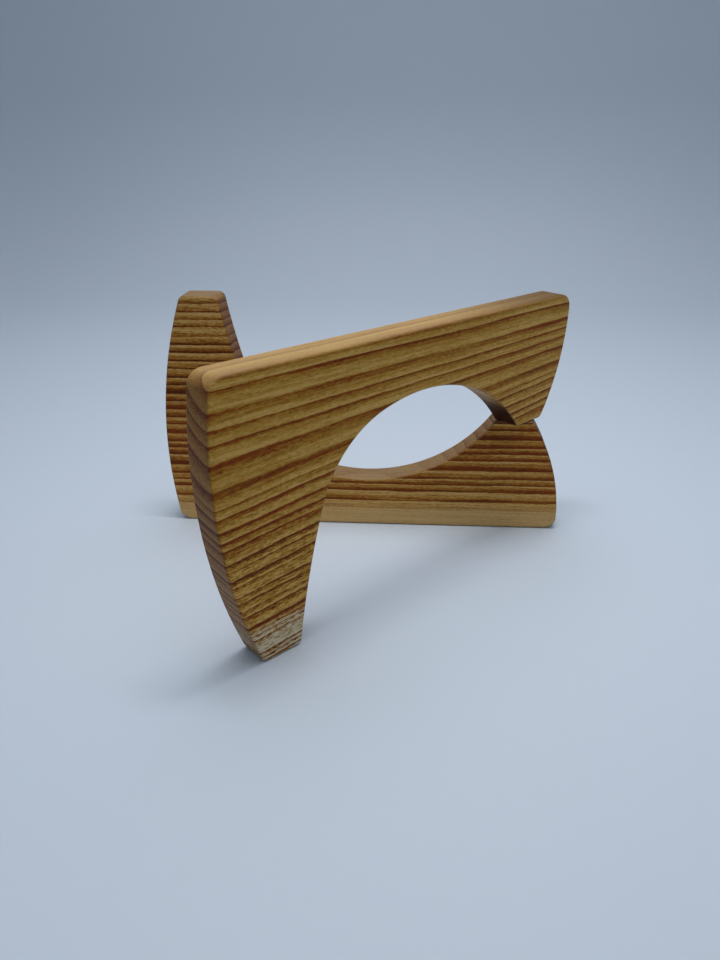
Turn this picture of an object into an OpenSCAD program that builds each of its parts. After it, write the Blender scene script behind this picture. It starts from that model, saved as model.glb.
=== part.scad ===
// Two identical bow-shaped pieces of solid ash board, stacked on edge.
// The standing piece rests on its straight edge with both legs up.
// The leaning piece is the same shape turned over: the foot of its tall leg is on
// the ground and the tip of its short leg sits on the standing piece's short tip.

/* [Board] */
// Thickness of the board that both pieces are sawn from
board_t = 18; // [12:0.5:24]
// Length of the straight edge, end to end
edge_l = 250; // [225:1:300]
// Height of the tall leg, from the straight edge to its tip
tall_h = 150; // [125:1:180]
// Height of the short leg, from the straight edge to its tip
short_h = 75; // [62:1:90]
// Depth of the board between the straight edge and the lowest point of the arch
web_h = 33; // [27:0.5:40]

/* [Legs] */
// Width of the flat tip of the tall leg, before its corners are rounded
tall_tip_w = 23; // [19:0.5:28]
// How far the tall tip's outer corner is set in from the end of the straight edge
tall_tip_in = 15; // [12:0.5:18]
// Width of the flat tip of the short leg, before its corners are rounded
short_tip_w = 24; // [20:0.5:29]
// How far the short tip's outer corner is set in from the end of the straight edge
short_tip_in = 20; // [16:0.5:24]
// Radius of the bulged outer side of the tall leg
tall_side_r = 290; // [240:5:350]
// Radius of the bulged outer side of the short leg
short_side_r = 124; // [105:1:150]
// Radius of the hollow inner side of the tall leg
leg_r = 460; // [420:5:540]
// Lean of the tall leg's inner side where it meets the tip, in degrees
leg_lean = 8.9; // [7.5:0.1:10.5]
// Radius of the elbow that joins the tall leg's inner side to the arch
elbow_r = 60; // [50:1:65]

/* [Corners] */
// Radius of the two corners at the ends of the straight edge
corner_r = 8; // [4:0.5:10]
// Radius of the corners of both tips
tip_r = 4; // [2:0.5:5]

/* [Stacking] */
// Angle between the two pieces, seen from above
swing = 46; // [30:1:75]
// How far the leaning piece sits across from the middle of the standing piece's tip
seat_shift = 3.5; // [-6:0.5:6]

/* [Hidden] */
$fn = 96;

standing_tint = "#b58a48";
leaning_tint = "#c39b5c";

// Centre of the circle of radius r through p and q, on the right going from p to q
function centre_right(p, q, r) = let (
    half = (q - p) / 2,
    len = norm(half)
) p + half + [half[1], -half[0]] * sqrt(r * r - len * len) / len;

// Lower crossing of a circle of radius ra about a and one of radius rb about b
function crossing(a, ra, b, rb) = let (
    d = norm(b - a),
    along = (d * d + ra * ra - rb * rb) / (2 * d),
    off = sqrt(ra * ra - along * along),
    e = (b - a) / d
) a + e * along + [e[1], -e[0]] * off;

// Point at height v and distance d from c, on its left (side -1) or right (side 1)
function level_point(c, d, v, side) = [c[0] + side * sqrt(d * d - pow(v - c[1], 2)), v];

// Direction of q seen from p, from 0 to 360 degrees, and from -180 to 180 degrees
function heading(p, q) = (half_turn_heading(p, q) + 360) % 360;
function half_turn_heading(p, q) = atan2(q[1] - p[1], q[0] - p[0]);

// Sharp corners of the outline, anticlockwise along the straight edge and the tips
end_tall = [0, 0];
end_short = [edge_l, 0];
short_out = [edge_l - short_tip_in, short_h];
short_in = [short_out[0] - short_tip_w, short_h];
tall_out = [tall_tip_in, tall_h];
tall_in = [tall_out[0] + tall_tip_w, tall_h];
short_tip_u = (short_out[0] + short_in[0]) / 2;

// Circles of the two bulged outer sides
tall_side_c = centre_right(end_tall, tall_out, tall_side_r);
short_side_c = centre_right(short_out, end_short, short_side_r);

// The arch is centred on the straight edge, touches the web and ends at the short tip
arch_half = short_in[0] - edge_l / 2;
arch_rise = short_h - web_h;
arch_r = (arch_half * arch_half + arch_rise * arch_rise) / (2 * arch_rise);
arch_c = [edge_l / 2, web_h + arch_r];

// The hollow inner side of the tall leg and the elbow that runs from it into the arch
leg_c = tall_in + leg_r * [cos(leg_lean), sin(leg_lean)];
elbow_c = crossing(arch_c, arch_r - elbow_r, leg_c, leg_r - elbow_r);

// Each round is set this far past its neighbours, so that the outline crosses cleanly
proud = 0.005;

// Centres of the rounded corners
corner_short_c = level_point(short_side_c, short_side_r - corner_r + proud, corner_r, 1);
corner_tall_c = level_point(tall_side_c, tall_side_r - corner_r + proud, corner_r, -1);
short_out_c = level_point(short_side_c, short_side_r - tip_r + proud, short_h - tip_r, 1);
short_in_c = level_point(arch_c, arch_r + tip_r - proud, short_h - tip_r, 1);
tall_in_c = level_point(leg_c, leg_r + tip_r - proud, tall_h - tip_r, -1);
tall_out_c = level_point(tall_side_c, tall_side_r - tip_r + proud, tall_h - tip_r, -1);

// Arcs of the outline: centre, radius, first angle and last angle
short_side = [short_side_c, short_side_r,
    half_turn_heading(short_side_c, corner_short_c), half_turn_heading(short_side_c, short_out_c)];
tall_side = [tall_side_c, tall_side_r,
    heading(tall_side_c, tall_out_c), heading(tall_side_c, corner_tall_c)];
arch = [arch_c, arch_r, heading(arch_c, short_in_c), heading(arch_c, elbow_c)];
leg_inside = [leg_c, leg_r, heading(leg_c, elbow_c), heading(leg_c, tall_in_c)];
tips = [short_out_c, short_in_c, tall_in_c, tall_out_c];
corners = [corner_short_c, corner_tall_c];

// First and last point of an arc, and the point halfway along it
function arc_point(arc, turn) = arc[0] + arc[1] * [cos(turn), sin(turn)];
function first_point(arc) = arc_point(arc, arc[2]);
function last_point(arc) = arc_point(arc, arc[3]);
function middle_point(arc) = arc_point(arc, (arc[2] + arc[3]) / 2);

// The outline with every arc and round cut short by its chord
chords = [
    [corner_tall_c[0], 0], [corner_short_c[0], 0],
    first_point(short_side), last_point(short_side),
    [short_out_c[0], short_h], [short_in_c[0], short_h],
    first_point(arch), last_point(arch),
    first_point(leg_inside), last_point(leg_inside),
    [tall_in_c[0], tall_h], [tall_out_c[0], tall_h],
    first_point(tall_side), last_point(tall_side),
];

// The leaning piece stands on the lowest round of its foot and of its short tip, which
// are the inner or the outer ones by which way it tilts
foot_c = tall_h >= 2 * short_h ? tall_in_c : tall_out_c;
seat_c = tall_h >= 2 * short_h ? short_out_c : short_in_c;
reach = seat_c - foot_c;
tilt = atan2(-reach[1], reach[0]) - asin(short_h / norm(reach));

// The lens between an arc and its chord, with a strip as deep again behind the chord
module lens(arc) {
    rise = middle_point(arc) - (first_point(arc) + last_point(arc)) / 2;
    intersection() {
        translate(arc[0]) circle(arc[1], $fn = 720);
        polygon([
            first_point(arc) - rise, first_point(arc) + 2 * rise,
            last_point(arc) + 2 * rise, last_point(arc) - rise,
        ]);
    }
}

module outline() {
    difference() {
        union() {
            polygon(chords);
            lens(short_side);
            lens(tall_side);
        }
        lens(arch);
        lens(leg_inside);
        translate(elbow_c) circle(elbow_r + proud, $fn = 360);
    }
    for (c = tips) translate(c) circle(tip_r);
    for (c = corners) translate(c) circle(corner_r);
}

// The board lying flat, outline in X and Y, thickness centred on Z
module flat_board() {
    translate([0, 0, -board_t / 2])
        linear_extrude(board_t) outline();
}

// The origin is the middle of the standing piece's straight edge
module standing_piece() {
    color(standing_tint)
        translate([-edge_l / 2, 0, 0])
            rotate([90, 0, 0]) flat_board();
}

module leaning_piece() {
    color(leaning_tint)
        translate([short_tip_u - edge_l / 2, 0, short_h + tip_r])
            rotate([0, 0, swing])
                translate([seat_c[0] - short_tip_u, -seat_shift, 0])
                    rotate([0, tilt, 0])
                        translate([-seat_c[0], 0, seat_c[1]])
                            rotate([-90, 0, 0]) flat_board();
}

standing_piece();
leaning_piece();
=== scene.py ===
import math
import bpy
import numpy as np
from mathutils import Matrix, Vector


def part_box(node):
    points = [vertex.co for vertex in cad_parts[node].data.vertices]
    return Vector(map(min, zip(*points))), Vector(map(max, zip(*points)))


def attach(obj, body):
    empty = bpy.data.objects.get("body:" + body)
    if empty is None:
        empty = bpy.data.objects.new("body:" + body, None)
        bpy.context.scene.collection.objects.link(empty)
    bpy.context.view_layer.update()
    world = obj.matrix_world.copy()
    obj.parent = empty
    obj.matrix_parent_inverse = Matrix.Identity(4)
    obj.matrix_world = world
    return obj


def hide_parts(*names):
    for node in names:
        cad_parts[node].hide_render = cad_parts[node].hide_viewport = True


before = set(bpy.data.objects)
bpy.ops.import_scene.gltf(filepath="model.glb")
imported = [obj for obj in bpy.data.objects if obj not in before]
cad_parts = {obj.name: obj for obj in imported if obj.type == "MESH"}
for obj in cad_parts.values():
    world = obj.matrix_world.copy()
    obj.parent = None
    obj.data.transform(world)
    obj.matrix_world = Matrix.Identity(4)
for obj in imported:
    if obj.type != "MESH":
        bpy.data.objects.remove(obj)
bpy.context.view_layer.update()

print("frame loaded:", sorted(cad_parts))

view = dict(
    place=(0.0369, -0.4459, 0.2412),  # metres, in the part's own frame
    down=25.19,                       # degrees below level
    turn=2.76,                        # degrees to the left of straight back
    roll=0.23,                        # degrees about the line of sight
    lens=27.90, sensor=36.0,          # mm
    shift=(-0.0316, -0.0038),         # shares of the frame's longer side
    nearest=0.01,                     # metres
)


def makeCamera():
    data = bpy.data.cameras.new("camera")
    data.lens = view["lens"]
    data.sensor_width = view["sensor"]
    data.shift_x, data.shift_y = view["shift"]
    data.clip_start = view["nearest"]
    cam = bpy.data.objects.new("camera", data)
    bpy.context.collection.objects.link(cam)
    cam.location = view["place"]
    aim = Matrix.Rotation(math.radians(view["turn"]), 3, "Z")
    aim = aim @ Matrix.Rotation(math.radians(90 - view["down"]), 3, "X")
    cam.rotation_euler = (aim @ Matrix.Rotation(math.radians(view["roll"]), 3, "Z")).to_euler()
    bpy.context.scene.camera = cam


makeCamera()

# Both pieces are this board. u runs along the straight edge from the tall leg's end,
# v runs from the straight edge towards the tips, w is the thickness. Metres and degrees.
board = dict(
    length=0.250, tallLeg=0.150, shortLeg=0.075, web=0.033,
    tallTip=0.023, tallTipIn=0.015, shortTip=0.024, shortTipIn=0.020,
    tallSideRadius=0.290, shortSideRadius=0.124,
    legRadius=0.460, legLean=8.9, elbowRadius=0.060,
    cornerRadius=0.008, tipRadius=0.004,
    easing=0.0015,             # radius that the edges of the faces are sanded to
    runStep=0.00005,           # spacing of the points that a side is first drawn with
    rungRadii=(0.002, 0.040),  # rungs get closer as a side's radius falls from the second to the first
    alongSteps=420,            # rungs between the outer and the inner side
    acrossSteps=10,            # cells along a rung
    easingSteps=6,             # cells round an eased edge
    edgeSteps=4,               # cells through the thickness
)


def heading(fromPoint, toPoint):
    return math.atan2(toPoint[1] - fromPoint[1], toPoint[0] - fromPoint[0])


def centreRight(p, q, radius):
    # centre of the circle through p and q that lies on the right going from p to q
    half = (q - p) / 2
    size = np.hypot(*half)
    side = np.array([half[1], -half[0]]) / size
    return p + half + side * math.sqrt(radius**2 - size**2)


def lowerCrossing(a, radiusA, b, radiusB):
    # the lower of the two points where two circles cross
    gap = np.hypot(*(b - a))
    along = (gap**2 + radiusA**2 - radiusB**2) / (2 * gap)
    e = (b - a) / gap
    return a + e * along + np.array([e[1], -e[0]]) * math.sqrt(radiusA**2 - along**2)


def levelPoint(centre, distance, v, side):
    # the point at height v and the given distance from a centre
    return np.array([centre[0] + side * math.sqrt(distance**2 - (v - centre[1])**2), v])


def arcRun(centre, radius, first, last, hollow=False):
    # points c + r(cos a, sin a) and outward normals; a hollow arc's normals point to c
    turn = (last - first + math.pi) % (2 * math.pi) - math.pi
    a = first + turn * np.linspace(0, 1, max(12, int(abs(turn) * radius / board["runStep"])))
    ray = np.stack([np.cos(a), np.sin(a)], 1)
    return centre + radius * ray, -ray if hollow else ray, np.full(len(a), radius)


def lineRun(p, q):
    # points p + t(q - p), with the normal on the right of the way from p to q; a line
    # counts as a very wide arc
    t = np.linspace(0, 1, max(3, int(np.hypot(*(q - p)) / board["runStep"])))[:, None]
    e = (q - p) / np.hypot(*(q - p))
    normal = np.tile([e[1], -e[0]], (len(t), 1))
    return p + t * (q - p), normal, np.full(len(t), 1.0)


def evenRungs(runs, count):
    # joins runs end to end and picks points so that tight arcs get closer ones:
    # the step is proportional to the square root of the radius, within limits
    points, normals, radii = (np.concatenate(x) for x in zip(*runs))
    step = np.hypot(*np.diff(points, axis=0).T)
    weight = step / np.sqrt(np.clip(radii[1:], *board["rungRadii"]))
    where = np.concatenate([[0], np.cumsum(weight)])
    pick = np.linspace(0, where[-1], count)
    out = np.stack([np.interp(pick, where, points[:, k]) for k in range(2)], 1)
    nor = np.stack([np.interp(pick, where, normals[:, k]) for k in range(2)], 1)
    return out, nor / np.hypot(*nor.T)[:, None]


def boardOutline(b):
    # the closed outline: outer side, short tip, inner side back, tall tip
    length, tall, short = b["length"], b["tallLeg"], b["shortLeg"]
    corner, tip = b["cornerRadius"], b["tipRadius"]
    tallBulge, shortBulge = b["tallSideRadius"], b["shortSideRadius"]
    shortOut = np.array([length - b["shortTipIn"], short])
    shortIn = shortOut - [b["shortTip"], 0]
    tallOut = np.array([b["tallTipIn"], tall])
    tallIn = tallOut + [b["tallTip"], 0]
    # centres of the sides, the arch and the elbow
    tallSide = centreRight(np.zeros(2), tallOut, tallBulge)
    shortSide = centreRight(shortOut, np.array([length, 0.0]), shortBulge)
    half, rise = shortIn[0] - length / 2, short - b["web"]
    archRadius = (half**2 + rise**2) / (2 * rise)
    arch = np.array([length / 2, b["web"] + archRadius])
    lean = math.radians(b["legLean"])
    leg = tallIn + b["legRadius"] * np.array([math.cos(lean), math.sin(lean)])
    elbow = lowerCrossing(arch, archRadius - b["elbowRadius"],
                          leg, b["legRadius"] - b["elbowRadius"])
    # centres of the rounded corners
    tallCorner = levelPoint(tallSide, tallBulge - corner, corner, -1)
    shortCorner = levelPoint(shortSide, shortBulge - corner, corner, 1)
    shortOutTip = levelPoint(shortSide, shortBulge - tip, short - tip, 1)
    shortInTip = levelPoint(arch, archRadius + tip, short - tip, 1)
    tallInTip = levelPoint(leg, b["legRadius"] + tip, tall - tip, -1)
    tallOutTip = levelPoint(tallSide, tallBulge - tip, tall - tip, -1)
    up, down = math.pi / 2, -math.pi / 2
    outer = [
        arcRun(tallOutTip, tip, up, heading(tallSide, tallOutTip)),
        arcRun(tallSide, tallBulge, heading(tallSide, tallOutTip), heading(tallSide, tallCorner)),
        arcRun(tallCorner, corner, heading(tallSide, tallCorner), down),
        lineRun(tallCorner - [0, corner], shortCorner - [0, corner]),
        arcRun(shortCorner, corner, down, heading(shortSide, shortCorner)),
        arcRun(shortSide, shortBulge, heading(shortSide, shortCorner),
               heading(shortSide, shortOutTip)),
        arcRun(shortOutTip, tip, heading(shortSide, shortOutTip), up),
    ]
    inner = [
        arcRun(tallInTip, tip, up, heading(tallInTip, leg)),
        arcRun(leg, b["legRadius"], heading(leg, tallInTip), heading(leg, elbow), True),
        arcRun(elbow, b["elbowRadius"], heading(leg, elbow), heading(arch, elbow), True),
        arcRun(arch, archRadius, heading(arch, elbow), heading(arch, shortInTip), True),
        arcRun(shortInTip, tip, heading(shortInTip, arch), up),
    ]
    outerLine, outerNormal = evenRungs(outer, b["alongSteps"] + 1)
    innerLine, innerNormal = evenRungs(inner, b["alongSteps"] + 1)
    share = np.linspace(0, 1, b["acrossSteps"] + 1)[1:-1, None]
    flat = np.tile([0.0, 1.0], (len(share), 1))
    shortTip = outerLine[-1] + share * (innerLine[-1] - outerLine[-1])
    tallTip = innerLine[0] + share * (outerLine[0] - innerLine[0])
    line = np.concatenate([outerLine, shortTip, innerLine[::-1], tallTip])
    normal = np.concatenate([outerNormal, flat, innerNormal[::-1], flat])
    return line, normal


def easedRim(line, normal, b, thickness):
    # the outline carried round an eased edge: each ring is the outline moved in by
    # r(1 - cos a) at height t/2 - r + r sin a, from a = 90 degrees to 0, then rings
    # straight down, then the same below turned over
    r, half, middle = b["easing"], thickness / 2, b["edgeSteps"] - 1
    a = np.linspace(0, np.pi / 2, b["easingSteps"] + 1)
    inset = np.concatenate([r * (1 - np.cos(a[::-1])), np.zeros(middle), r * (1 - np.cos(a))])
    level = np.concatenate([half - r + r * np.sin(a[::-1]),
                            np.linspace(half - r, r - half, middle + 2)[1:-1],
                            r - half - r * np.sin(a)])
    lift = np.concatenate([np.sin(a[::-1]), np.zeros(middle), -np.sin(a)])
    shape = (len(level), len(line), 1)
    rim = line[None] - inset[:, None, None] * normal[None]
    points = np.concatenate([rim, np.broadcast_to(level[:, None, None], shape)], 2)
    flat = np.sqrt(1 - lift**2)[:, None, None]
    normals = np.concatenate([normal[None] * flat,
                              np.broadcast_to(lift[:, None, None], shape)], 2)
    return points, normals


def ringQuads(index):
    # quads between neighbouring rings, each ring closed on itself
    after = np.roll(index, -1, axis=1)
    return np.stack([index[:-1], index[1:], after[1:], after[:-1]], -1).reshape(-1, 4)


def faceQuads(ring, start, b):
    # quads of one face: the border of its grid is the rim's own ring of points, and the
    # points inside are numbered on from start
    along, across = b["alongSteps"], b["acrossSteps"]
    grid = np.empty((along + 1, across + 1), int)
    grid[:, 0] = ring[:along + 1]
    grid[along, 1:across] = ring[along + 1:along + across]
    grid[:, across] = ring[along + across:2 * along + across + 1][::-1]
    grid[0, 1:across] = ring[2 * along + across + 1:][::-1]
    inside = (along - 1) * (across - 1)
    grid[1:along, 1:across] = start + np.arange(inside).reshape(along - 1, across - 1)
    return np.stack([grid[:-1, :-1], grid[1:, :-1], grid[1:, 1:], grid[:-1, 1:]], -1).reshape(-1, 4)


def smoothPiece(name, points, quads, normals):
    mesh = bpy.data.meshes.new(name)
    mesh.vertices.add(len(points))
    mesh.vertices.foreach_set("co", points.ravel())
    mesh.loops.add(quads.size)
    mesh.loops.foreach_set("vertex_index", quads.ravel())
    mesh.polygons.add(len(quads))
    mesh.polygons.foreach_set("loop_start", np.arange(0, quads.size, 4))
    mesh.polygons.foreach_set("use_smooth", np.ones(len(quads), bool))
    mesh.update(calc_edges=True)
    mesh.validate()
    mesh.normals_split_custom_set_from_vertices(normals)
    piece = bpy.data.objects.new(name, mesh)
    bpy.context.collection.objects.link(piece)
    return piece


def makeBoard(name, b, thickness, place):
    # the eased rim, and two faces of rungs p + s(q - p) from the outer side p to the
    # inner side q; place takes board (u, v, w) to the part's frame
    rim, rimNormals = easedRim(*boardOutline(b), b, thickness)
    rows, count = rim.shape[:2]
    index = np.arange(rows * count).reshape(rows, count)
    points, normals, quads = [rim.reshape(-1, 3)], [rimNormals.reshape(-1, 3)], [ringQuads(index)]
    along, across = b["alongSteps"], b["acrossSteps"]
    share = np.linspace(0, 1, across + 1)[None, 1:-1, None]
    start = rows * count
    for row, facing in ((0, 1), (rows - 1, -1)):
        outer = rim[row, 1:along, None]
        inner = rim[row, along + across + 1:2 * along + across, None][::-1]
        fill = (outer + share * (inner - outer)).reshape(-1, 3)
        points.append(fill)
        normals.append(np.tile([0.0, 0.0, facing], (len(fill), 1)))
        quads.append(faceQuads(index[row], start, b)[:, ::facing])
        start += len(fill)
    turn, shift = place
    return smoothPiece(name, np.concatenate(points) @ turn.T + shift, np.concatenate(quads),
                       np.concatenate(normals) @ turn.T)


stack = dict(
    swing=46.0,        # degrees between the two pieces, seen from above
    seatShift=0.0035,  # how far the leaning piece sits across from the middle of the tip
)


def placements(b):
    # standing: u to X, v to Z, w to -Y. leaning: turned over about the straight
    # edge and swung about the middle of the short tips
    tip = b["length"] - b["shortTipIn"] - b["shortTip"] / 2
    standing = np.array([[1, 0, 0], [0, 0, -1], [0, 1, 0]], float)
    standingShift = np.array([-b["length"] / 2, 0, 0])
    s = math.radians(stack["swing"])
    swing = np.array([[math.cos(s), -math.sin(s), 0], [math.sin(s), math.cos(s), 0], [0, 0, 1]])
    over = np.array([[1, 0, 0], [0, 0, 1], [0, -1, 0]], float)
    leaning = swing @ over
    tipPlace = np.array([tip - b["length"] / 2, 0, b["tallLeg"]])
    across = swing @ np.array([0, -stack["seatShift"], 0])
    leaningShift = tipPlace + across - leaning @ np.array([tip, 0, 0])
    return (standing, standingShift), (leaning, leaningShift)


standingPlace, leaningPlace = placements(board)
low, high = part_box("standing_piece")
thickness = high[1] - low[1]
standing = makeBoard("standing_board", board, thickness, standingPlace)
leaning = makeBoard("leaning_board", board, thickness, leaningPlace)
print("boards made:", len(standing.data.polygons), "faces each")


def srgb(code):
    # "#rrggbb" to linear colour
    c = np.array([int(code[k:k + 2], 16) for k in (1, 3, 5)]) / 255
    lin = np.where(c <= 0.04045, c / 12.92, ((c + 0.055) / 1.055) ** 2.4)
    return (*lin, 1.0)


def addNode(tree, kind, inputs=(), stops=(), **settings):
    # adds a node and gives back its first live output. inputs are values or sockets, by
    # name or in the order of the node's live inputs; stops are a ramp's places and colours
    node = tree.nodes.new("ShaderNode" + kind)
    for name, value in settings.items():
        setattr(node, name, value)
    live = [socket for socket in node.inputs if socket.enabled]
    for key, value in inputs.items() if isinstance(inputs, dict) else enumerate(inputs):
        socket = node.inputs[key] if isinstance(key, str) else live[key]
        if isinstance(value, bpy.types.NodeSocket):
            tree.links.new(value, socket)
        else:
            socket.default_value = value
    if stops:
        row = node.color_ramp.elements
        row[0].position, row[0].color = stops[0]
        row[-1].position, row[-1].color = stops[-1]
        for place, colour in stops[1:-1]:
            row.new(place).color = colour
    return next((socket for socket in node.outputs if socket.enabled), None)


ashLeaning = dict(
    name="oiled_ash_leaning", seed=3.0,
    heart=(-0.010, -0.011),        # the tree's middle, across and through the board, metres
    rings=122.0, ringsMore=430.0,  # rings per metre, and how much they crowd further out
    firstRing=0.35, luck=1.3,      # luck is how unequal the rings are
    slope=0.055,                   # the grain's slope to the straight edge,
    slopeFrom=(0.01, 0.07),        # and where across the board it sets in
    wander=0.0010, wave=0.0004, jitter=0.00018,  # how far the rings stray, metres
    steady=0.62, varied=0.62,      # strength of the faintest ring, and what the boldest has more
    lineGain=(0.85, 1.2),          # strength of the lines by the straight edge and by the tips
    speckle=(0.04, 0.11),          # where across the board the speckle sets in
    boldBand=None, sapwood=None,
    wornFrom=0.126, wornTone="#e2d2ae",           # the foot's worn end
    tipShadeAlong=(0.180, 0.198), tipShadeTone="#5e2610",    # painted shade: where along the board the short leg's inner end is darkened red-brown
    pale="#dbac5a", fair="#c8953e", honey="#b07a22", brown="#9a5608", deep="#763200",
    red="#943a00", redness=0.75,
    edgeToneAndShade="#c6ab7c", edgeShare=0.5,            # colour of the sawn edges; on the standing piece it also holds painted shade
    edgeQuiet=0.2,                 # how much fainter the rings are on them
    edgeShadeFrom=(0.12, 0.25), edgeShadeTone="#a29983",    # painted shade: where along the board the sawn edges are darkened
)
ashStanding = dict(
    name="oiled_ash_standing", seed=11.0,
    heart=(-0.060, 0.016),
    rings=150.0, ringsMore=140.0,
    firstRing=0.1, luck=0.5,
    slope=0.0, slopeFrom=(0.01, 0.07),
    wander=0.0012, wave=0.0005, jitter=0.0002,
    steady=0.66, varied=0.45, lineGain=(1.0, 1.0), speckle=(0.10, 0.20),
    boldBand=(0.020, 0.042, 0.095, 0.125),        # where across the board the rings are bold
    sapwood=0.0135, sapTone="#e2bd84",            # the pale strip along the straight edge
    wornFrom=None, tipShadeAlong=None, edgeShadeFrom=None,
    pale="#dcaf68", fair="#c89446", honey="#aa6e22", brown="#884608", deep="#602a00",
    red="#923e04", redness=0.7,
    # the standing piece's sawn edges are darkened partly by painted shade, as on the arch under the
    # leaning board
    edgeToneAndShade="#75634e", edgeShare=0.7, edgeQuiet=0.75,
)
# both boards' wood. Tone runs from 0, the palest late wood, to 1, the darkest early wood
ash = dict(
    # how dark a ring is from its first pores to its last wood
    ring=((0.0, 0.55), (0.05, 1.0), (0.13, 0.84), (0.25, 0.60), (0.45, 0.40), (0.72, 0.20),
          (0.94, 0.08), (1.0, 0.32)),
    tones=((0.0, "pale"), (0.22, "fair"), (0.45, "honey"), (0.72, "brown"), (1.0, "deep")),
    stray=2.6,                   # a noise mostly stays within 0.2 of 0: half the given distance
    yearPace=0.5,                # how quickly the rings' widths change from year to year
    streaks=0.9,                 # how much a line's strength varies on its way
    facing=(0.2, 0.8),           # facing edgeways by this much turns a face to a sawn edge
    gainAcross=(0.015, 0.10),    # metres from the straight edge between which lineGain runs
    boldGain=0.52, boldLift=0.08,  # what a bold stretch adds, as a share and to every tone
    sapReach=(0.5, 1.4),         # the sapwood ends between these shares of its width
    sapFade=0.70, sapShare=0.45,
    fibres=1.05,                 # strength of the fibres
    specks=(0.9, 2.4),           # strength of the fine speckle before and after it sets in
    redPatches=(-0.1, 0.12), redLines=(0.45, 0.95),  # noise and tones between which red grows
    wornRagged=0.006,            # metres by which the worn end's limit is uneven and blends
    wornLines=(-1.7, 1.1),       # the wear shows by 1.1 - 1.7 tone
    poreTone="#94622a", poreInk=0.5,
    poreRare=-0.29, poreInSpeckle=0.05, poreInLines=0.22,  # added to dash: above 0 is a pore
    poreSharp=11.0,              # how abruptly a pore's side falls
    # end faces: end grain's own darker colour plus painted shade on the shaded end faces
    endAndShadeTone="#a07c48", endAndShadeShare=0.75,
    tipShadeFacing=(-0.7, -0.3),     # painted shade on faces facing the tall leg's end between these shares
    poreDepth=0.4, fibreRise=0.5, bump=0.25, bumpDepth=0.00012,  # the last in metres
    roughness=0.42, roughInLines=0.12, ior=1.47, gloss=0.15,
)
# noises about 0: blotch size along, across and through the board in metres, detail,
# roughness and start. Ash has large pores 0.2 to 0.3 mm wide and far finer fibres. So that
# they show, bundles of fibres are drawn about 1.3 mm wide, the speckle 0.7 and pores 0.55
grainNoise = dict(
    wander=((0.110, 0.050, 0.040), 1.0, 0.5, 0.0),
    wave=((0.024, 0.010, 0.020), 1.0, 0.5, 5.0),
    jitter=((0.0050, 0.0022, 0.0040), 2.0, 0.5, 8.0),
    streak=((0.050, 0.0060, 0.020), 2.0, 0.5, 9.0),
    warm=((0.060, 0.030, 0.030), 1.0, 0.5, 14.0),
    fibre=((0.055, 0.0013, 0.0013), 3.0, 0.65, 2.0),
    fine=((0.0028, 0.0007, 0.0007), 2.0, 0.65, 4.0),
    dash=((0.0028, 0.00055, 0.00055), 1.0, 0.5, 7.0),
)


def boardSpace(tree, look, place):
    # object coordinates turned to the board's own in metres: along, across and through
    # it, bent as the grain is, and how the surface faces
    turn, shift = place
    spot = addNode(tree, "TexCoord").node.outputs["Object"]
    own = addNode(tree, "Mapping", {"Vector": spot, "Location": tuple(shift),
                  "Rotation": tuple(Matrix(turn.tolist()).to_euler("XYZ"))}, vector_type="TEXTURE")
    along, across, through = addNode(tree, "SeparateXYZ", (own,)).node.outputs
    # the grain slopes away from the straight edge towards the tall leg's tip
    slope = addNode(tree, "MapRange", (across, *look["slopeFrom"], 0.0, look["slope"]),
                    interpolation_type="SMOOTHSTEP")
    bent = addNode(tree, "Math", (along, board["length"]), operation="SUBTRACT")
    bent = addNode(tree, "Math", (bent, slope, across), operation="MULTIPLY_ADD")
    grain = addNode(tree, "CombineXYZ", (along, bent, through))
    # how much the surface faces along the board, and how much it is a sawn edge
    normal = addNode(tree, "NewGeometry").node.outputs["Normal"]
    lengthways, edgeways = (addNode(tree, "VectorMath", (normal, tuple(turn[:, k])),
                            operation="DOT_PRODUCT") for k in range(2))
    sawn = addNode(tree, "Math", (edgeways,), operation="ABSOLUTE")
    return dict(along=along, across=across, through=through, bent=bent, grain=grain,
                lengthways=lengthways, sawn=sawn)


def grainClouds(tree, look, grain):
    # every noise of grainNoise, less its middle value; start takes each to its own place
    clouds = {}
    for name, (size, detail, rough, start) in grainNoise.items():
        spread = addNode(tree, "Mapping", {"Vector": grain, "Scale": tuple(1 / x for x in size),
                         "Location": (look["seed"] + start, 1.7 * start, 0.6 * start)})
        cloud = addNode(tree, "TexNoise", {"Vector": spread, "Scale": 1.0, "Detail": detail,
                        "Roughness": rough})
        clouds[name] = addNode(tree, "Math", (cloud, 0.5), operation="SUBTRACT")
    return clouds


def ringCount(tree, look, at, clouds):
    # distance from the heart, straying a little, times a density that grows outwards,
    # with some rings wider than others; the whole part is the year
    side = addNode(tree, "Math", (at["bent"], look["heart"][0]), operation="SUBTRACT")
    depth = addNode(tree, "Math", (at["through"], look["heart"][1]), operation="SUBTRACT")
    radius = addNode(tree, "CombineXYZ", (side, depth))
    radius = addNode(tree, "VectorMath", (radius,), operation="LENGTH")
    for name in ("wander", "wave", "jitter"):
        radius = addNode(tree, "Math", (clouds[name], ash["stray"] * look[name], radius),
                         operation="MULTIPLY_ADD")
    density = addNode(tree, "Math", (radius, look["ringsMore"], look["rings"]),
                      operation="MULTIPLY_ADD")
    rings = addNode(tree, "Math", (radius, density, look["firstRing"]), operation="MULTIPLY_ADD")
    uneven = addNode(tree, "Math", (rings, look["seed"]), operation="ADD")
    uneven = addNode(tree, "TexNoise", {"W": uneven, "Scale": ash["yearPace"], "Detail": 0.0},
                     noise_dimensions="1D")
    return addNode(tree, "Math", (uneven, look["luck"], rings), operation="MULTIPLY_ADD")


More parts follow.
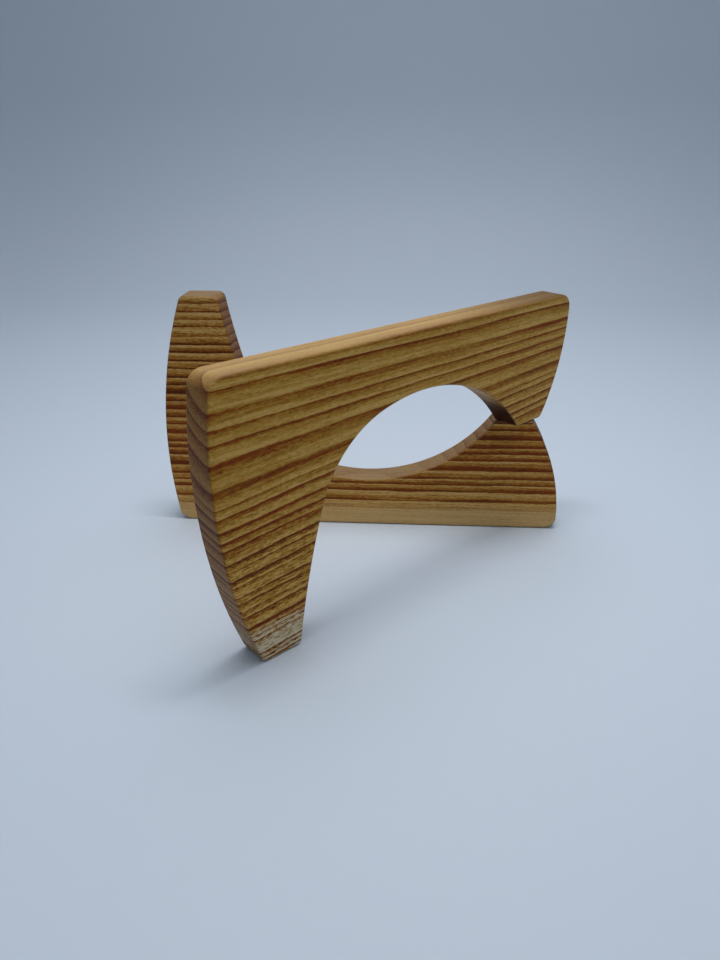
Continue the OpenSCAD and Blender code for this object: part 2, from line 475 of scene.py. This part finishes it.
def ringTone(tree, look, at, clouds):
    # each ring's profile times its own strength, which also varies on its way
    rings = ringCount(tree, look, at, clouds)
    year = addNode(tree, "Math", (rings,), operation="FLOOR")
    year = addNode(tree, "Math", (year, look["seed"]), operation="ADD")
    bold = addNode(tree, "TexWhiteNoise", {"W": year}, noise_dimensions="1D")
    bold = addNode(tree, "Math", (bold, look["varied"], look["steady"]), operation="MULTIPLY_ADD")
    bold = addNode(tree, "Math", (clouds["streak"], ash["streaks"], bold), operation="MULTIPLY_ADD")
    early = addNode(tree, "Math", (rings,), operation="FRACT")
    early = addNode(tree, "ValToRGB", (early,), [(x, (y, y, y, 1.0)) for x, y in ash["ring"]])
    early = addNode(tree, "Math", (early, bold), operation="MULTIPLY")
    quiet = addNode(tree, "MapRange", (at["sawn"], *ash["facing"], 1.0, 1.0 - look["edgeQuiet"]))
    early = addNode(tree, "Math", (early, quiet), operation="MULTIPLY")
    gain = addNode(tree, "MapRange", (at["across"], *ash["gainAcross"], *look["lineGain"]),
                   interpolation_type="SMOOTHSTEP")
    early = addNode(tree, "Math", (early, gain), operation="MULTIPLY")
    if look["boldBand"]:
        first, full, fades, last = look["boldBand"]
        opens = addNode(tree, "MapRange", (at["across"], first, full),
                        interpolation_type="SMOOTHSTEP")
        band = addNode(tree, "MapRange", (at["across"], fades, last, opens, 0.0),
                       interpolation_type="SMOOTHSTEP")
        gain = addNode(tree, "Math", (band, ash["boldGain"], 1.0), operation="MULTIPLY_ADD")
        early = addNode(tree, "Math", (early, gain), operation="MULTIPLY")
        early = addNode(tree, "Math", (band, ash["boldLift"], early), operation="MULTIPLY_ADD")
    return early


def sapwoodShare(tree, look, at):
    # 1 at the straight edge, falling to 0 a little past the width of the sapwood
    first, last = (share * look["sapwood"] for share in ash["sapReach"])
    return addNode(tree, "MapRange", (at["across"], first, last, 1.0, 0.0),
                   interpolation_type="SMOOTHSTEP")


def wornFoot(tree, look, at, clouds, tone, wood):
    # the foot's end is paler between the lines, as if the oil had worn off
    limit = look["wornFrom"]
    worn = addNode(tree, "Math", (clouds["fibre"], ash["wornRagged"], at["across"]),
                   operation="MULTIPLY_ADD")
    worn = addNode(tree, "MapRange", (worn, limit, limit + ash["wornRagged"]),
                   interpolation_type="SMOOTHSTEP")
    light = addNode(tree, "Math", (tone, *ash["wornLines"]), operation="MULTIPLY_ADD",
                    use_clamp=True)
    worn = addNode(tree, "Math", (worn, light), operation="MULTIPLY")
    return addNode(tree, "Mix", (worn, wood, srgb(look["wornTone"])), data_type="RGBA")


def sawnEdgesAndShade(tree, look, at, wood):
    # sawn edges have their own colour, which on the standing piece also holds painted shade; painted
    # shade darkens them over one stretch, and end grain is darker, partly as painted shade
    share = addNode(tree, "Math", (at["sawn"], look["edgeShare"]), operation="MULTIPLY")
    wood = addNode(tree, "Mix", (share, wood, srgb(look["edgeToneAndShade"])), data_type="RGBA")
    if look["edgeShadeFrom"]:
        # painted shade: the sawn edges darken over this stretch along the board
        edgeShade = addNode(tree, "MapRange", (at["along"], *look["edgeShadeFrom"], 0.0, at["sawn"]),
                       interpolation_type="SMOOTHSTEP")
        wood = addNode(tree, "Mix", (edgeShade, wood, srgb(look["edgeShadeTone"])), data_type="RGBA",
                       blend_type="MULTIPLY")
    # end faces are darkened, partly as end grain's own colour and partly as painted shade
    end = addNode(tree, "Math", (at["lengthways"], at["lengthways"]), operation="MULTIPLY")
    end = addNode(tree, "Math", (end, ash["endAndShadeShare"]), operation="MULTIPLY")
    return addNode(tree, "Mix", (end, wood, srgb(ash["endAndShadeTone"])), data_type="RGBA",
                   blend_type="MULTIPLY")


def paintTipShade(tree, look, at, wood):
    # painted shade: the short leg's inner end face, where the boards meet, is darkened red-brown
    tipShade = addNode(tree, "MapRange", (at["lengthways"], *ash["tipShadeFacing"], 1.0, 0.0),
                   interpolation_type="SMOOTHSTEP")
    tipShade = addNode(tree, "MapRange", (at["along"], *look["tipShadeAlong"], 0.0, tipShade),
                   interpolation_type="SMOOTHSTEP")
    return addNode(tree, "Mix", (tipShade, wood, srgb(look["tipShadeTone"])), data_type="RGBA",
                   blend_type="MULTIPLY")


def ashMaterial(look, place):
    # Solid ash, planed, sanded and oiled. Ash is ring-porous: each year's ring opens
    # with a dark line of wide pores and fades through honey to pale dense wood. The oil
    # leaves a soft satin gloss; end grain drinks more of it and goes darker. Painted shade
    # further darkens the end faces, some sawn edges and the short leg's inner end.
    mat = bpy.data.materials.new(look["name"])
    mat.use_nodes = True
    tree = mat.node_tree
    tree.nodes.clear()
    at = boardSpace(tree, look, place)
    clouds = grainClouds(tree, look, at["grain"])
    early = ringTone(tree, look, at, clouds)
    if look["sapwood"]:
        # the rings hardly show in sapwood
        sap = sapwoodShare(tree, look, at)
        fade = addNode(tree, "Math", (sap, -ash["sapFade"], 1.0), operation="MULTIPLY_ADD")
        early = addNode(tree, "Math", (early, fade), operation="MULTIPLY")

    # fibres and a fine speckle, both longer than wide, the speckle plainer towards the tips
    coarse = addNode(tree, "MapRange", (at["across"], *look["speckle"], *ash["specks"]),
                     interpolation_type="SMOOTHSTEP")
    fine = addNode(tree, "Math", (clouds["fine"], coarse), operation="MULTIPLY")
    tone = addNode(tree, "Math", (clouds["fibre"], ash["fibres"], early), operation="MULTIPLY_ADD")
    tone = addNode(tree, "Math", (fine, tone), operation="ADD", use_clamp=True)
    wood = addNode(tree, "ValToRGB", (tone,), [(x, srgb(look[name])) for x, name in ash["tones"]])

    # the dark lines are redder in patches
    warm = addNode(tree, "MapRange", (clouds["warm"], *ash["redPatches"]),
                   interpolation_type="SMOOTHSTEP")
    warm = addNode(tree, "MapRange", (tone, *ash["redLines"], 0.0, warm),
                   interpolation_type="SMOOTHSTEP")
    warm = addNode(tree, "Math", (warm, look["redness"]), operation="MULTIPLY")
    wood = addNode(tree, "Mix", (warm, wood, srgb(look["red"])), data_type="RGBA")
    if look["wornFrom"]:
        wood = wornFoot(tree, look, at, clouds, tone, wood)
    if look["sapwood"]:
        sap = addNode(tree, "Math", (sap, ash["sapShare"]), operation="MULTIPLY")
        wood = addNode(tree, "Mix", (sap, wood, srgb(look["sapTone"])), data_type="RGBA")

    # open pores: dashes along the grain, more of them in the speckle and the dark lines
    crowd = addNode(tree, "Math", (coarse, ash["poreInSpeckle"], ash["poreRare"]),
                    operation="MULTIPLY_ADD")
    crowd = addNode(tree, "Math", (tone, ash["poreInLines"], crowd), operation="MULTIPLY_ADD")
    pores = addNode(tree, "Math", (clouds["dash"], crowd), operation="ADD")
    pores = addNode(tree, "Math", (pores, ash["poreSharp"]), operation="MULTIPLY", use_clamp=True)
    ink = addNode(tree, "Math", (pores, ash["poreInk"]), operation="MULTIPLY")
    wood = addNode(tree, "Mix", (ink, wood, srgb(ash["poreTone"])), data_type="RGBA",
                   blend_type="MULTIPLY")
    wood = sawnEdgesAndShade(tree, look, at, wood)
    # painted shade on the short leg's inner end
    if look["tipShadeAlong"]:
        wood = paintTipShade(tree, look, at, wood)

    # fibres stand proud, dark lines and pores lie low and are a little rougher
    hollow = addNode(tree, "Math", (tone, ash["poreDepth"], pores), operation="MULTIPLY_ADD")
    height = addNode(tree, "Math", (clouds["fibre"], ash["fibreRise"]), operation="MULTIPLY")
    height = addNode(tree, "Math", (height, hollow), operation="SUBTRACT")
    bump = addNode(tree, "Bump", {"Strength": ash["bump"], "Distance": ash["bumpDepth"],
                   "Height": height})
    rough = addNode(tree, "Math", (tone, ash["roughInLines"], ash["roughness"]),
                    operation="MULTIPLY_ADD")
    shader = addNode(tree, "BsdfPrincipled", {"Base Color": wood, "Roughness": rough,
                     "Normal": bump, "IOR": ash["ior"], "Specular IOR Level": ash["gloss"]})
    addNode(tree, "OutputMaterial", {"Surface": shader})
    return mat


standing.data.materials.append(ashMaterial(ashStanding, standingPlace))
leaning.data.materials.append(ashMaterial(ashLeaning, leaningPlace))
for piece, node, body, slot in ((standing, "standing_piece", "standing", "standing_ash"),
                                (leaning, "leaning_piece", "leaning", "leaning_ash")):
    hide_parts(node)
    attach(piece, body)
print("ash made")

studio = dict(
    centre=(0.001, 0.3),            # radii of the first rings of the level floor, metres
    floor=0.66, bend=0.30, top=1.9,  # half width of the floor, then the bend, then the wall's height
    squareness=7.0,                 # the plan is a square with round corners
    sides=128, bendSteps=32,
    paper="#dce6ee", roughness=0.6,
    air="#c9d2df", airStrength=0.08,
    lampTone="#f6f8ff", spread=110.0,  # degrees
)
# lamps shine straight down: place and size in metres, power in watts
topPanel = dict(name="top_panel", place=(0.03, -0.04, 0.85), size=(0.30, 0.06), power=0.62)
softbox = dict(name="overhead_softbox", place=(0.02, 0.16, 1.2), size=(1.3, 1.5), power=4.35)


def makeTray():
    # a paper tray: a level floor that bends up in a quarter circle into a wall, carried
    # round a plan at r (|cos t|^n + |sin t|^n)^(-1/n) for a direction t
    s = studio
    a = np.linspace(0, np.pi / 2, s["bendSteps"] + 1)
    r = np.concatenate([s["centre"], s["floor"] + s["bend"] * np.sin(a), [s["floor"] + s["bend"]]])
    z = np.concatenate([[0.0, 0.0], s["bend"] * (1 - np.cos(a)), [s["top"]]])
    t = np.arange(s["sides"]) * 2 * np.pi / s["sides"]
    n = s["squareness"]
    plan = (np.abs(np.cos(t))**n + np.abs(np.sin(t))**n) ** (-1 / n)
    ring = np.stack([plan * np.cos(t), plan * np.sin(t)], 1)
    points = np.concatenate([r[:, None, None] * ring,
                             np.broadcast_to(z[:, None, None], (len(r), len(t), 1))], 2)
    index = np.arange(r.size * t.size).reshape(r.size, t.size)
    faces = ringQuads(index).tolist()
    faces.append(index[0].tolist())
    mesh = bpy.data.meshes.new("paper_tray")
    mesh.from_pydata(points.reshape(-1, 3).tolist(), [], faces)
    mesh.polygons.foreach_set("use_smooth", np.ones(len(faces), bool))
    mesh.update()
    # matt drawing paper: pale, faintly blue, with no more than a blurred sheen
    mat = bpy.data.materials.new("matt_paper")
    mat.use_nodes = True
    shader = mat.node_tree.nodes["Principled BSDF"]
    shader.inputs["Base Color"].default_value = srgb(s["paper"])
    shader.inputs["Roughness"].default_value = s["roughness"]
    mesh.materials.append(mat)
    tray = bpy.data.objects.new("paper_tray", mesh)
    bpy.context.collection.objects.link(tray)


def makeLamp(lamp):
    data = bpy.data.lights.new(lamp["name"], "AREA")
    data.shape = "RECTANGLE"
    data.size, data.size_y = lamp["size"]
    data.energy = lamp["power"]
    data.spread = math.radians(studio["spread"])
    data.color = srgb(studio["lampTone"])[:3]
    hung = bpy.data.objects.new(lamp["name"], data)
    bpy.context.collection.objects.link(hung)
    hung.location = lamp["place"]


def makeAir():
    world = bpy.data.worlds.new("studio_air")
    bpy.context.scene.world = world
    world.use_nodes = True
    air = world.node_tree.nodes["Background"]
    air.inputs["Color"].default_value = srgb(studio["air"])
    air.inputs["Strength"].default_value = studio["airStrength"]


makeTray()
makeLamp(topPanel)
makeLamp(softbox)
makeAir()
bpy.context.scene.view_settings.view_transform = "Standard"
print("studio made")
